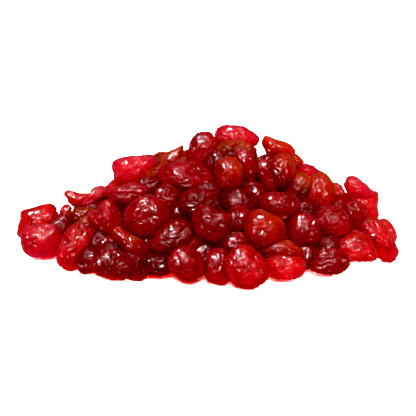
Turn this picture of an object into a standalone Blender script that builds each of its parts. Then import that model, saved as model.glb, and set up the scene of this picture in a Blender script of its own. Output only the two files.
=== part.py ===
"""A loose heap of dried cherries, fused into one solid: a smaller core, with the cherries that show on it.

Metres, +Z up. The origin is on the surface that the heap lies on, under the middle of its footprint,
and the side with the hand-placed cherries faces -Y.
"""

import math

import bmesh
import bpy
import numpy as np

MM = 0.001

# The heap: half its width, half its depth, and the line of its top as seen from the front, in mm.
HALF_WIDTH = 76.0
HALF_DEPTH = 58.0
CREST_ACROSS = (
    -76.0, -66.0, -57.0, -44.0, -36.0, -22.0, -10.0, 0.0, 9.0, 16.0, 22.0, 31.0, 40.0, 50.0, 60.0, 68.0, 76.0
)
CREST_HEIGHT = (
    6.0, 13.0, 17.5, 24.0, 32.0, 37.5, 42.0, 46.0, 48.0, 45.0, 38.5, 41.0, 34.5, 28.0, 23.0, 17.0, 6.0
)
SIDE_ROUNDNESS = 1.8
SIDE_STEEPNESS = 0.8

# The viewpoint that the front cherries' places are read from: a frame of 416 columns and rows.
EYE_DISTANCE = 600.0
EYE_ELEVATION = math.radians(12.0)
EYE_AIM_HEIGHT = 18.8
FRAME_MIDDLE = 208.0
MM_PER_STEP = 0.4

# How the cherries pack, and the core that carries them, in mm, shares and rounds.
SEED = 41
SKIN_DEPTH = 5.5
FOOT_DEPTH = 8.0
SKIN_SPACING = 10.4
FOOT_SPACING = 12.4
FOOT_FROM = 8.0
SKIN_TRIES = 9000
SUNK_BEFORE = -12.0
SINKING = (0.0, 4.5, 9.0)
LOWEST = 8.0
SIGHT_FROM = 490.0
SIGHT_TO = 660.0
SIGHT_STEP = 0.25
FARTHEST = 8.0
HIDING_REACH = 8.5
CORE_SHARE = (0.94, 0.90, 0.74)
CORE_FRONT_SHARE = 0.74
CORE_FRONT_TAPER = 1.4
CORE_FOOT_SHARE = 0.86
CORE_SHOULDER = 8.5
CORE_EDGE_SHARE = 0.97
CORE_BELOW = 2.0
MEAN_LENGTH = 15.8
CONTACT = 0.84
SETTLE_ROUNDS = 70
PUSH = 0.35
SIDEWAYS = 0.2
HOMING = 0.05
FLOOR_BITE = 0.5
LARGE_HALF_WIDTH = 6.7

# Each cherry of the front that shows well: columns and rows of points round its outline, its thickness in mm,
# and how far forward of the heap's face it sits in mm.
OUTLINED_CHERRIES = (
    (((22, 211), (32, 208), (43, 205), (50, 204), (56, 209), (60, 217), (60, 227), (52, 238),
      (36, 242), (22, 240), (18, 232), (21, 221)), 13.5, -3.0),
    (((22, 237), (27, 228), (36, 225), (46, 224), (56, 226), (61, 232), (62, 243), (58, 253),
      (48, 257), (36, 257), (26, 252), (22, 245)), 12.5, 3.0),
    (((65, 195), (67, 191), (71, 190), (80, 193), (88, 193), (96, 192), (95, 200), (88, 206),
      (78, 207), (70, 204), (68, 199)), 8.0, -2.0),
    (((59, 212), (62, 206), (68, 204), (72, 207), (70, 216), (68, 226), (63, 228), (59, 221)), 8.0, -2.0),
    (((82, 203), (87, 196), (94, 191), (102, 188), (108, 189), (106, 195), (98, 199), (91, 204),
      (85, 207)), 8.0, 0.0),
    (((68, 216), (73, 210), (82, 208), (92, 209), (92, 215), (87, 221), (78, 223), (70, 221)), 8.0, 0.0),
    (((75, 225), (84, 226), (91, 230), (94, 238), (92, 246), (85, 253), (81, 260), (77, 267),
      (70, 270), (61, 267), (57, 259), (60, 248), (64, 236), (69, 229)), 12.0, 2.0),
    (((98, 210), (101, 204), (107, 200), (113, 203), (117, 210), (122, 221), (121, 232), (115, 237),
      (105, 236), (96, 229), (89, 221), (89, 214), (93, 211)), 13.0, 1.0),
    (((108, 196), (111, 190), (120, 187), (131, 185), (142, 186), (149, 190), (147, 196), (140, 202),
      (130, 205), (119, 205), (111, 202)), 9.5, 1.0),
    (((125, 219), (127, 210), (134, 202), (145, 196), (156, 197), (165, 203), (169, 213), (168, 224),
      (162, 232), (151, 237), (139, 237), (130, 231)), 14.5, 3.0),
    (((113, 230), (119, 226), (126, 231), (134, 236), (143, 241), (149, 248), (148, 255), (140, 258),
      (131, 256), (123, 249), (116, 239)), 10.0, 2.0),
    (((151, 244), (155, 235), (164, 226), (174, 221), (185, 222), (193, 227), (195, 235), (190, 243),
      (181, 250), (170, 254), (159, 254), (152, 250)), 12.5, 1.0),
    (((90, 265), (93, 257), (103, 252), (115, 250), (126, 253), (135, 260), (138, 268), (134, 275),
      (121, 278), (107, 277), (95, 272)), 12.0, 1.0),
    (((138, 266), (143, 258), (154, 254), (165, 255), (172, 262), (172, 271), (160, 275), (145, 274)),
     10.0, -1.0),
    (((170, 264), (172, 254), (180, 248), (190, 247), (199, 254), (204, 264), (203, 274), (195, 280),
      (183, 280), (174, 273)), 14.0, 2.0),
    (((112, 169), (115, 161), (125, 157), (138, 156), (150, 155), (155, 160), (155, 169), (151, 178),
      (141, 182), (128, 184), (117, 181), (113, 175)), 11.5, 2.0),
    (((156, 164), (160, 158), (168, 153), (177, 148), (182, 146), (184, 153), (188, 160), (183, 166),
      (170, 170), (159, 170)), 10.0, -2.0),
    (((159, 174), (163, 167), (174, 163), (186, 162), (198, 165), (208, 170), (214, 179), (212, 188),
      (203, 195), (190, 195), (176, 190), (164, 184)), 14.0, 2.0),
    (((188, 156), (189, 145), (193, 138), (203, 132), (211, 133), (216, 142), (217, 154), (212, 164),
      (202, 168), (192, 166)), 12.6, 0.0),
    (((193, 221), (195, 212), (201, 206), (209, 206), (217, 212), (224, 212), (231, 218), (232, 228),
      (228, 237), (218, 242), (206, 241), (197, 234)), 14.5, 2.0),
    (((227, 217), (231, 210), (239, 206), (247, 209), (252, 216), (250, 225), (243, 232), (234, 232),
      (228, 225)), 11.0, 0.0),
    (((245, 230), (247, 220), (254, 213), (264, 211), (273, 216), (282, 221), (285, 230), (281, 240),
      (272, 247), (260, 249), (250, 243)), 14.0, 3.0),
    (((258, 204), (262, 196), (271, 193), (283, 193), (293, 197), (298, 206), (295, 215), (284, 221),
      (271, 219), (262, 213)), 12.5, 1.0),
    (((215, 173), (218, 163), (225, 158), (233, 158), (240, 164), (243, 174), (241, 184), (235, 191),
      (227, 193), (219, 188), (216, 181)), 11.5, 2.0),
    (((236, 155), (243, 149), (251, 152), (255, 160), (256, 171), (253, 182), (248, 185), (243, 179),
      (240, 167)), 10.0, 0.0),
    (((217, 151), (221, 143), (230, 139), (241, 138), (250, 142), (256, 150), (254, 158), (245, 163),
      (232, 164), (221, 160)), 11.0, 1.0),
    (((215, 138), (218, 130), (226, 127), (237, 127), (247, 130), (256, 136), (260, 142), (256, 147),
      (242, 148), (228, 148), (218, 145)), 9.5, -1.0),
    (((255, 167), (258, 160), (264, 159), (269, 164), (274, 174), (277, 184), (275, 192), (269, 193),
      (263, 186), (258, 177)), 9.0, 1.0),
    (((270, 170), (273, 160), (280, 155), (288, 156), (294, 163), (296, 173), (294, 183), (286, 189),
      (277, 187), (272, 180)), 11.5, 1.0),
    (((262, 144), (264, 138), (268, 136), (277, 140), (288, 143), (295, 150), (294, 156), (286, 157),
      (275, 155), (267, 154), (265, 149)), 9.0, -2.0),
    (((291, 155), (296, 154), (302, 159), (305, 164), (302, 169), (295, 168), (290, 162)), 8.0, -3.0),
    (((296, 171), (299, 165), (306, 163), (313, 166), (319, 172), (318, 179), (308, 182), (299, 178)),
     9.5, -2.0),
    (((313, 173), (318, 170), (325, 174), (331, 181), (330, 187), (322, 188), (315, 182)), 9.5, -3.0),
    (((299, 194), (301, 184), (307, 177), (315, 172), (323, 174), (330, 184), (332, 196), (328, 206),
      (319, 213), (308, 211), (301, 203)), 13.0, 2.0),
    (((330, 189), (334, 183), (341, 186), (346, 195), (349, 203), (345, 208), (338, 206), (332, 198)),
     9.0, -1.0),
    (((345, 186), (348, 179), (354, 177), (361, 181), (368, 187), (373, 193), (366, 198), (355, 197),
      (348, 193)), 8.0, -1.0),
    (((342, 195), (348, 190), (359, 191), (369, 191), (376, 190), (378, 197), (377, 206), (379, 215),
      (372, 220), (361, 217), (351, 208), (344, 201)), 11.0, -2.0),
    (((312, 227), (315, 216), (322, 208), (332, 207), (342, 210), (349, 219), (349, 230), (341, 237),
      (330, 240), (319, 236)), 14.0, 2.0),
    (((360, 230), (363, 221), (371, 218), (380, 221), (387, 229), (393, 241), (398, 253), (394, 260),
      (385, 260), (376, 255), (368, 246), (362, 237)), 12.0, 2.0),
    (((376, 222), (384, 219), (392, 225), (396, 233), (395, 241), (389, 245), (380, 240), (376, 231)),
     10.0, 5.0),
    (((325, 246), (335, 241), (345, 235), (355, 231), (364, 234), (371, 243), (376, 254), (373, 260),
      (361, 261), (348, 261), (336, 254)), 12.5, 0.0),
    (((308, 262), (310, 253), (319, 249), (331, 249), (342, 251), (347, 258), (347, 267), (340, 272),
      (328, 274), (316, 272), (310, 268)), 10.5, 2.0),
    (((286, 232), (288, 221), (295, 214), (304, 212), (313, 216), (320, 227), (319, 237), (311, 245),
      (300, 248), (291, 243)), 13.5, 1.0),
    (((265, 266), (267, 259), (275, 256), (286, 255), (297, 257), (304, 263), (302, 272), (293, 278),
      (281, 279), (270, 276)), 11.0, 1.0),
    (((256, 249), (262, 240), (275, 237), (289, 240), (299, 248), (303, 258), (297, 264), (284, 263),
      (268, 261)), 11.5, 0.0),
    (((226, 266), (228, 254), (236, 247), (245, 245), (254, 249), (261, 257), (268, 267), (268, 277),
      (260, 284), (249, 287), (237, 286), (229, 278)), 15.5, 0.0),
    (((205, 268), (207, 257), (213, 250), (221, 250), (227, 256), (230, 267), (228, 279), (221, 284),
      (212, 281), (206, 275)), 11.5, 1.0),
    (((91, 191), (96, 187), (102, 185), (108, 188), (108, 194), (100, 198), (93, 196)), 8.0, -5.0),
    (((104, 189), (109, 183), (115, 179), (121, 181), (122, 188), (115, 193), (107, 193)), 8.0, -5.0),
)

# The others of the front, partly hidden: column and row of the middle, length and width in mm, the turn of
# the length in degrees, how far forward it sits, and its form.
PLAIN_CHERRIES = (
    (89, 227, 10.0, 8.5, 20, -2.0, "plump"),
    (90, 260, 12.0, 9.0, 20, -3.0, "plump"),
    (208, 194, 12.0, 10.0, 20, -3.5, "plump"),
    (160, 176, 11.0, 8.5, 25, -3.0, "plump"),
    (152, 188, 12.5, 9.5, 0, -4.0, "plump"),
    (170, 199, 11.5, 9.0, -35, 0.0, "plump"),
    (199, 205, 17.6, 11.4, -5, -2.0, "plump"),
    (182, 214, 13.5, 11.0, 0, -6.0, "plump"),
    (234, 244, 11.5, 10.0, 0, -2.0, "plump"),
    (238, 203, 16.0, 11.0, -8, -5.5, "plump"),
    (365, 228, 13.0, 9.5, 0, -2.0, "plump"),
    (306, 257, 10.5, 9.0, 80, -3.0, "plump"),
    (203, 259, 14.0, 10.0, 80, -3.0, "plump"),
    (98, 247, 11.5, 10.0, 70, -3.0, "plump"),
    (112, 249, 11.5, 9.5, 0, -3.0, "plump"),
    (300, 188, 12.0, 10.0, 60, -3.0, "plump"),
    (253, 199, 12.5, 10.5, 80, -5.5, "plump"),
    (324, 246, 13.0, 10.0, 10, -6.0, "plump"),
    (121, 209, 12.0, 10.0, 0, -6.0, "plump"),
    (215, 166, 14.0, 10.0, 80, -6.0, "plump"),
    (353, 218, 13.0, 10.0, 70, -3.0, "plump"),
    (218, 245, 11.5, 9.5, 30, -6.0, "plump"),
    (152, 247, 12.5, 10.0, 10, -6.0, "plump"),
    (226, 197, 12.0, 10.0, 60, -7.0, "plump"),
    (170, 258, 11.0, 9.5, 0, -6.0, "plump"),
    (258, 214, 12.0, 10.0, 0, -6.5, "plump"),
    (307, 213, 12.5, 10.5, 30, -6.0, "plump"),
    (59, 231, 12.5, 10.5, 60, -6.0, "plump"),
    (338, 208, 12.5, 10.0, 30, -4.0, "plump"),
)
RULED_FORMS = ("plump", "egg", "bean", "long", "ring", "block", "plump", "knob")

# Girth from one end of a cherry's length to the other, as places along it and shares of its width.
GIRTHS = {
    "egg": ((-1.0, 1.0), (1.20, 0.70)),
    "wedge": ((-1.0, 1.0), (1.30, 0.50)),
    "knob": ((-1.0, 0.1, 0.5, 1.0), (1.04, 1.06, 0.64, 0.80)),
}
EVEN_GIRTH = ((-1.0, 1.0), (1.0, 1.0))

# The folds of the forms, as shares of the cherry's half sizes: depth and breadth of a bean's cleft and of
# a ring's hollow, height, place and breadth of the ring's lip, and depth, place and breadth of the groove
# along a long one.
CLEFT = (0.26, 0.26)
HOLLOW = (0.30, 0.42)
LIP = (0.05, 0.8, 0.25)
GROOVE = (0.13, 0.25, 0.2)
ROUND_POWER = 2.2
BLOCK_POWER = 3.0
UNEVEN = 0.06
OUTLINED_UNEVEN = 0.02
PLAIN_SWELL = 1.04
SHARP_FROM = math.radians(50)


def skin_height(across, depth, inset):
    """Height of the heap's skin in mm, taken in by inset all round. It is 0 outside the footprint."""
    x = np.asarray(across) * HALF_WIDTH / (HALF_WIDTH - inset)
    y = np.asarray(depth) * HALF_DEPTH / (HALF_DEPTH - inset)
    crest = np.interp(x, CREST_ACROSS, CREST_HEIGHT)
    reach = HALF_DEPTH * np.sqrt(np.clip(1.0 - (x / HALF_WIDTH) ** 2, 1e-4, 1.0))
    share = np.clip(1.0 - np.abs(y / reach) ** SIDE_ROUNDNESS, 0.0, 1.0) ** SIDE_STEEPNESS
    top = max(CREST_HEIGHT)
    return crest * share * (top - inset) / top * (np.abs(x) < HALF_WIDTH)


def view_axes():
    """Right, up and towards the eye, for the viewpoint that the front places are read from."""
    sine, cosine = math.sin(EYE_ELEVATION), math.cos(EYE_ELEVATION)
    right = np.array((1.0, 0.0, 0.0))
    up = np.array((0.0, sine, cosine))
    towards = np.array((0.0, -cosine, sine))
    return right, up, towards


def sight_line(column, row):
    """The eye's place and the unit direction through one column and row of the frame."""
    right, up, towards = view_axes()
    aim = np.array((0.0, 0.0, EYE_AIM_HEIGHT))
    eye = aim + towards * EYE_DISTANCE
    target = aim + right * (column - FRAME_MIDDLE) * MM_PER_STEP + up * (FRAME_MIDDLE - row) * MM_PER_STEP
    line = target - eye
    return eye, line / np.linalg.norm(line)


def turned(axes, about, angle):
    """The rows of axes, turned about one of them by the angle in radians."""
    k = axes[about]
    cosine, sine = math.cos(angle), math.sin(angle)
    return axes * cosine + np.cross(k, axes) * sine + np.outer(axes @ k, k) * (1 - cosine)


def half_height(axes, half):
    """How far an ellipsoid with these axes (rows) and half sizes reaches above its middle."""
    return float(np.linalg.norm(axes[:, 2] * half))


def outline_measures(outline):
    """Middle, length, width and turn of the oval most like an outline, and the outline's reach against it.

    The outline is a smooth closed line through the points. Lengths are in columns and rows.
    """
    ring = (np.array(outline, float) * (1, -1))[:, None]
    before, after, later = (np.roll(ring, shift, axis=0) for shift in (1, -1, -2))
    t = np.arange(0, 1, 0.125)[:, None]
    line = 2 * ring + (after - before) * t + (2 * before - 5 * ring + 4 * after - later) * t**2
    line = (line + (3 * ring - before - 3 * after + later) * t**3).reshape(-1, 2) / 2

    def slices(arms):
        following = np.roll(arms, -1, axis=0)
        areas = (arms[:, 0] * following[:, 1] - following[:, 0] * arms[:, 1]) / 2
        return areas, arms, following

    areas, arms, following = slices(line)
    middle = ((arms + following) * areas[:, None]).sum(axis=0) / (3 * areas.sum())
    areas, arms, following = slices(line - middle)
    spread = sum(np.einsum("i,ia,ib->ab", areas, v, v) for v in (arms, following, arms + following))
    values, ways = np.linalg.eigh(spread / (12 * areas.sum()))
    width, length = 4 * np.sqrt(values)
    turn = math.atan2(ways[1, 1], ways[0, 1])
    angles = (np.arctan2(arms[:, 1], arms[:, 0]) - turn) % (2 * math.pi)
    oval = 0.5 / np.hypot(np.cos(angles) / length, np.sin(angles) / width)
    order = np.argsort(angles)
    reach = np.linalg.norm(arms, axis=1) / oval
    return middle * (1, -1), length, width, turn, (angles[order], reach[order])


def in_outline(local, cherry):
    """Draws points in the cherry's own frame in or out across the view, so that they fill its outline."""
    if cherry["outline"]:
        angles = np.arctan2(local[:, 1], local[:, 0])
        local[:, :2] *= np.interp(angles, *cherry["outline"], period=2 * math.pi)[:, None]
    return local


def front_cherry(entry, rng):
    """One hand-placed cherry, at the place on its sight line where the heap or the floor carries it."""
    right, up, towards = view_axes()
    if isinstance(entry[0], tuple):
        points, thickness, forward = entry
        (column, row), length, width, turn, outline = outline_measures(points)
        sizes = np.array((length * MM_PER_STEP, width * MM_PER_STEP, thickness))
        form, lean, swing = "outlined", 0.0, 0.0
    else:
        column, row, length, width, turn, forward, form = entry
        turn, outline = math.radians(turn), None
        sizes = np.array((length, width, min(width * rng.uniform(0.85, 1.15), length)))
        lean, swing = rng.uniform(-0.35, 0.35), rng.uniform(-0.25, 0.25)
    along = right * math.cos(turn) + up * math.sin(turn)
    axes = turned(np.array((along, np.cross(towards, along), towards)), 0, lean)
    axes = turned(axes, 1, swing)
    half = sizes / 2
    eye, line = sight_line(column, row)
    steps = np.arange(SIGHT_FROM, SIGHT_TO, SIGHT_STEP)
    places = eye + steps[:, None] * line
    steps, places = steps[places[:, 1] < FARTHEST], places[places[:, 1] < FARTHEST]
    above = places[:, 2] - skin_height(places[:, 0], places[:, 1], SKIN_DEPTH)
    inside = np.flatnonzero((above < 0) | (places[:, 2] < half_height(axes, half)))
    found = inside[0] if len(inside) else int(np.argmin(above))
    place = places[found] - line * forward
    half = half * steps[found] / EYE_DISTANCE
    return {"place": place, "axes": axes, "half": half, "form": form, "outline": outline, "line": line}


def back_cherry(place, rng):
    """One cherry placed by rule, lying roughly flat on the heap's slope."""
    out = place / np.array((HALF_WIDTH, HALF_DEPTH, max(CREST_HEIGHT))) ** 2
    out = out / np.linalg.norm(out)
    along = np.cross(out, rng.normal(size=3))
    along = along / np.linalg.norm(along)
    axes = np.array((along, np.cross(out, along), out))
    axes = turned(axes, 0, rng.uniform(-0.9, 0.9))
    axes = turned(axes, 1, rng.uniform(-0.6, 0.6))
    length = MEAN_LENGTH * rng.uniform(0.78, 1.16)
    width = length * rng.uniform(0.62, 0.92)
    half = np.array((length, width, width * rng.uniform(0.74, 0.92))) / 2
    form = RULED_FORMS[rng.integers(len(RULED_FORMS))]
    return {"place": place, "axes": axes, "half": half, "form": form, "outline": None, "line": None}


def in_the_way(place, taken):
    """Whether a cherry here would hide a hand-placed one from the viewpoint of the front."""
    frame = np.array(view_axes())
    gaps = (np.array(taken) - place) @ frame.T
    return bool(((np.hypot(gaps[:, 0], gaps[:, 1]) < HIDING_REACH) & (gaps[:, 2] < -1.0)).any())


def scattered(taken, rng):
    """Seeded places round the foot, then over the skin, that keep clear of those taken.

    In front, and where they would hide a hand-placed cherry, they are sunk.
    """
    reach_x, reach_y = HALF_WIDTH - FOOT_DEPTH, HALF_DEPTH - FOOT_DEPTH
    count = int(math.pi * (reach_x + reach_y) / FOOT_SPACING)
    angles = (np.arange(count) + rng.uniform(-0.15, 0.15, count)) * 2 * math.pi / count
    foot = np.column_stack((reach_x * np.cos(angles), reach_y * np.sin(angles)))
    over = rng.uniform((-reach_x, -reach_y), (reach_x, reach_y), (SKIN_TRIES, 2))
    kept = np.array(taken)
    for across, depth in np.vstack((foot[foot[:, 1] > FOOT_FROM], over)):
        if (across / reach_x) ** 2 + (depth / reach_y) ** 2 > 1.001:
            continue
        for sunk in SINKING[int(depth < SUNK_BEFORE):]:
            high = max(float(skin_height(across, depth, SKIN_DEPTH + sunk)), SKIN_DEPTH)
            place = np.array((across, depth, high))
            if not in_the_way(place, taken):
                break
        clear = np.linalg.norm(kept - place, axis=1).min() > SKIN_SPACING
        low = high < LOWEST and depth < FOOT_FROM
        if clear and not low and not in_the_way(place, taken):
            kept = np.vstack((kept, place))
    return kept[len(taken):]


def settle(cherries):
    """Pushes the cherries apart until they only press on each other, and keeps them on the floor."""
    places = np.array([c["place"] for c in cherries])
    axes = np.array([c["axes"] for c in cherries])
    halves = np.array([c["half"] for c in cherries])
    heights = np.array([half_height(c["axes"], c["half"]) for c in cherries])
    lines = np.array([c["line"] if c["line"] is not None else np.zeros(3) for c in cherries])
    seen = (np.abs(lines).sum(axis=1) > 0)[:, None]
    homes = places.copy()
    for _ in range(SETTLE_ROUNDS):
        gaps = places[None, :, :] - places[:, None, :]
        distance = np.linalg.norm(gaps, axis=2) + np.eye(len(places))
        ways = gaps / distance[:, :, None]
        own_ways = np.einsum("iab,ijb->ija", axes, ways)
        reach = 1.0 / np.linalg.norm(own_ways / halves[:, None, :] + 1e-9, axis=2)
        short = np.clip(CONTACT * (reach + reach.T) - distance, 0.0, None)
        np.fill_diagonal(short, 0.0)
        push = -(ways * short[:, :, None] * PUSH).sum(axis=1)
        along = (push * lines).sum(axis=1)[:, None] * lines
        push = np.where(seen, along + (push - along) * SIDEWAYS, push)
        places = places + push + (homes - places) * HOMING
        places[:, 2] = np.maximum(places[:, 2], heights - FLOOR_BITE)
    for cherry, place in zip(cherries, places):
        cherry["place"] = place
    return cherries


def laid_out():
    """Every cherry of the heap's skin: the hand-placed front, then the rest by rule."""
    rng = np.random.default_rng(SEED)
    front = [front_cherry(entry, rng) for entry in OUTLINED_CHERRIES + PLAIN_CHERRIES]
    rest = scattered([c["place"] for c in front], rng)
    return settle(front + [back_cherry(place, rng) for place in rest])


def waves(directions, rng, count, pitch):
    """A smooth random field over directions, about -1 to 1, with features of the given pitch in radians."""
    field = np.zeros(len(directions))
    for _ in range(count):
        normal = rng.normal(size=3)
        normal = normal / np.linalg.norm(normal) * rng.uniform(0.7, 1.3) * 2 * math.pi / pitch
        field += np.cos(directions @ normal + rng.uniform(0, 2 * math.pi))
    return field / math.sqrt(count)


def cherry_points(directions, cherry, rng):
    """The directions of a ball, moved out to this cherry's skin, in mm."""
    d = directions
    form = cherry["form"]
    power = BLOCK_POWER if form in ("block", "wedge") else ROUND_POWER
    radius = (np.abs(d) ** power).sum(axis=1) ** (-1 / power)
    radius = radius + (OUTLINED_UNEVEN if form == "outlined" else UNEVEN) * waves(d, rng, 5, 2.6)
    if form == "bean":
        depth, breadth = CLEFT
        radius = radius - depth * np.exp(-((d[:, 0] / breadth) ** 2)) * np.clip(d[:, 1] * 1.2 + 0.1, 0, 1)
    if form == "ring":
        tilt = np.arccos(np.clip(d @ np.array((0.0, 0.42, 0.91)), -1, 1))
        depth, breadth = HOLLOW
        height, middle, spread = LIP
        radius = radius - depth * np.exp(-((tilt / breadth) ** 2))
        radius = radius + height * np.exp(-(((tilt - middle) / spread) ** 2))
    if form == "long":
        depth, middle, breadth = GROOVE
        groove = np.exp(-(((d[:, 1] - middle) / breadth) ** 2))
        radius = radius - depth * groove * np.clip(d[:, 2] + 0.4, 0, 1)
    points = d * radius[:, None] * cherry["half"]
    points[:, 1:] *= np.interp(d[:, 0], *GIRTHS.get(form, EVEN_GIRTH))[:, None]
    return cherry["place"] + in_outline(points, cherry) @ cherry["axes"]


def mesh_object(name, points, faces, collection):
    mesh = bpy.data.meshes.new(name)
    corners = [tuple(p) for p in np.asarray(points) * MM]
    mesh.from_pydata(corners, [], [tuple(int(i) for i in f) for f in faces])
    mesh.update()
    made = bpy.data.objects.new(name, mesh)
    collection.objects.link(made)
    return made


def fine_ball():
    """Directions and faces of a ball of 80 triangles, facing out."""
    shape = bmesh.new()
    bmesh.ops.create_icosphere(shape, subdivisions=2, radius=1.0)
    directions = np.array([v.co.normalized() for v in shape.verts])
    faces = [[v.index for v in f.verts] for f in shape.faces]
    shape.free()
    return directions, faces


def plain_ball():
    """Directions and faces of a ball of 42 triangles, facing out, with its poles on the first axis."""
    around = 7
    directions, faces = [(1.0, 0.0, 0.0)], []
    for ring, latitude in enumerate((48.0, 0.0, -48.0)):
        sine, cosine = math.sin(math.radians(latitude)), math.cos(math.radians(latitude))
        for step in range(around):
            angle = (step + 0.5 * (ring % 2)) * 2 * math.pi / around
            directions.append((sine, cosine * math.cos(angle), cosine * math.sin(angle)))
    directions.append((-1.0, 0.0, 0.0))
    for step in range(around):
        after = (step + 1) % around
        before = (step - 1) % around
        top, middle, low = 1, 1 + around, 1 + 2 * around
        faces.append((0, top + step, top + after))
        faces.append((top + step, middle + before, middle + step))
        faces.append((top + step, middle + step, top + after))
        faces.append((middle + step, low + step, low + after))
        faces.append((middle + before, low + step, middle + step))
        faces.append((low + after, low + step, low + around))
    return np.array(directions), faces


def core_mesh(collection):
    """The closed core: rings up a smaller copy of the skin, over a narrower foot that dips below the floor."""
    around, levels = 20, 5
    angles = np.arange(around) * 2 * math.pi / around
    share_x, share_y, share_z = CORE_SHARE
    plan_x, plan_y = share_x * np.cos(angles), np.sin(angles)
    in_front = -CORE_FRONT_SHARE * np.abs(plan_y) ** CORE_FRONT_TAPER
    plan_y = np.where(plan_y < 0, in_front, share_y * plan_y)
    points, faces = [], []
    for level in range(levels):
        share = CORE_EDGE_SHARE * math.cos(level / levels * math.pi / 2)
        x, y = HALF_WIDTH * share * np.cos(angles), HALF_DEPTH * share * np.sin(angles)
        heights = np.maximum(skin_height(x, y, 0.0) * share_z, CORE_SHOULDER)
        points += list(np.column_stack((plan_x * HALF_WIDTH * share, plan_y * HALF_DEPTH * share, heights)))
    points.append(np.array((0.0, 0.0, float(skin_height(0.0, 0.0, 0.0)) * share_z)))
    foot = len(points)
    foot_x, foot_y = plan_x * HALF_WIDTH * CORE_FOOT_SHARE, plan_y * HALF_DEPTH * CORE_FOOT_SHARE
    points += list(np.column_stack((foot_x, foot_y, np.full(around, -CORE_BELOW))))
    points.append(np.array((0.0, 0.0, -CORE_BELOW)))
    for step in range(around):
        after = (step + 1) % around
        for level in range(levels - 1):
            low, high = level * around, (level + 1) * around
            faces.append((low + step, low + after, high + after))
            faces.append((low + step, high + after, high + step))
        top = (levels - 1) * around
        faces.append((top + step, top + after, levels * around))
        faces.append((foot + step, foot + after, after))
        faces.append((foot + step, after, step))
        faces.append((foot + after, foot + step, foot + around))
    return mesh_object("cherry_heap", points, faces, collection)


def apply_modifiers(made):
    graph = bpy.context.evaluated_depsgraph_get()
    mesh = bpy.data.meshes.new_from_object(made.evaluated_get(graph))
    made.modifiers.clear()
    old = made.data
    made.data = mesh
    bpy.data.meshes.remove(old)


def keep_largest_body(made):
    """Only the largest closed shell stays, so that nothing loose or sealed inside is left."""
    shape = bmesh.new()
    shape.from_mesh(made.data)
    left, shells = set(shape.verts), []
    while left:
        shell, edge = set(), [next(iter(left))]
        while edge:
            vertex = edge.pop()
            if vertex in shell:
                continue
            shell.add(vertex)
            edge.extend(e.other_vert(vertex) for e in vertex.link_edges)
        shells.append(shell)
        left -= shell
    largest = max(shells, key=len)
    bmesh.ops.delete(shape, geom=[v for v in shape.verts if v not in largest], context="VERTS")
    bmesh.ops.triangulate(shape, faces=shape.faces[:])
    shape.to_mesh(made.data)
    shape.free()


def boolean(made, operation, other):
    step = made.modifiers.new(operation.lower(), "BOOLEAN")
    step.operation = operation
    step.solver = "EXACT"
    if isinstance(other, bpy.types.Collection):
        step.operand_type = "COLLECTION"
        step.collection = other
    else:
        step.object = other
    bpy.context.view_layer.update()
    apply_modifiers(made)


def cherry_material():
    material = bpy.data.materials.new("dried_cherry")
    material.use_nodes = True
    shader = material.node_tree.nodes["Principled BSDF"]
    shader.inputs["Base Color"].default_value = (0.36, 0.008, 0.012, 1.0)
    shader.inputs["Roughness"].default_value = 0.25
    shader.inputs["Metallic"].default_value = 0.0
    return material


def build():
    for old in list(bpy.data.objects):
        bpy.data.objects.remove(old)
    main = bpy.context.scene.collection
    cherries = laid_out()
    loose = bpy.data.collections.new("skin_cherries")
    main.children.link(loose)
    fine, plain = fine_ball(), plain_ball()
    for number, cherry in enumerate(cherries):
        rng = np.random.default_rng(SEED + 1000 + number)
        large = cherry["line"] is not None and cherry["half"][1] > LARGE_HALF_WIDTH
        directions, faces = fine if large else plain
        cherry["half"] = cherry["half"] * (1.0 if large else PLAIN_SWELL)
        mesh_object(f"cherry_{number:03d}", cherry_points(directions, cherry, rng), faces, loose)
    heap = core_mesh(main)
    boolean(heap, "UNION", loose)
    for cherry in list(loose.objects):
        bpy.data.objects.remove(cherry)
    bpy.data.collections.remove(loose)
    wide, deep = 3 * HALF_WIDTH, HALF_DEPTH
    under = np.array([(x, y, z) for x in (-wide, wide) for y in (-wide, wide) for z in (-deep, 0)])
    sides = ((0, 1, 3, 2), (4, 6, 7, 5), (0, 4, 5, 1), (2, 3, 7, 6), (0, 2, 6, 4), (1, 5, 7, 3))
    floor = mesh_object("floor_cutter", under, sides, main)
    boolean(heap, "DIFFERENCE", floor)
    bpy.data.objects.remove(floor)
    keep_largest_body(heap)
    heap.data.materials.clear()
    heap.data.materials.append(cherry_material())
    heap.data.shade_smooth()
    heap.data.set_sharp_from_angle(angle=SHARP_FROM)


build()
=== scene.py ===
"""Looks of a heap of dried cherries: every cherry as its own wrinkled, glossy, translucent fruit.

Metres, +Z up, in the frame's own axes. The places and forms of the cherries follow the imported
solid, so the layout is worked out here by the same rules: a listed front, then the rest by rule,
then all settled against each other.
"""

import math

import bpy
import numpy as np
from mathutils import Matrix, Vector


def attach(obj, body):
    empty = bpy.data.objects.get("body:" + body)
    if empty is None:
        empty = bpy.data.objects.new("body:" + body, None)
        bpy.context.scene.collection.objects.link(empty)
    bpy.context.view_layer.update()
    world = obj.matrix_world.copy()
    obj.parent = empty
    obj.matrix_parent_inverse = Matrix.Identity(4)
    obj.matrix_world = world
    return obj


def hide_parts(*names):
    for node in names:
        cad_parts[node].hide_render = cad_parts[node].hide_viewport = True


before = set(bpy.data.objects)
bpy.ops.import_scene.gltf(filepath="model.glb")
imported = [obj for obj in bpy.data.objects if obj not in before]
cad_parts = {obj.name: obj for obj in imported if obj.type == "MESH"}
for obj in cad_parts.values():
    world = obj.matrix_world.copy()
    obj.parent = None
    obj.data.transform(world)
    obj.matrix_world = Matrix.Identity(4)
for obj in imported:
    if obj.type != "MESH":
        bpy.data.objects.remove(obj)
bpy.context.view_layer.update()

MM = 0.001

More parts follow.
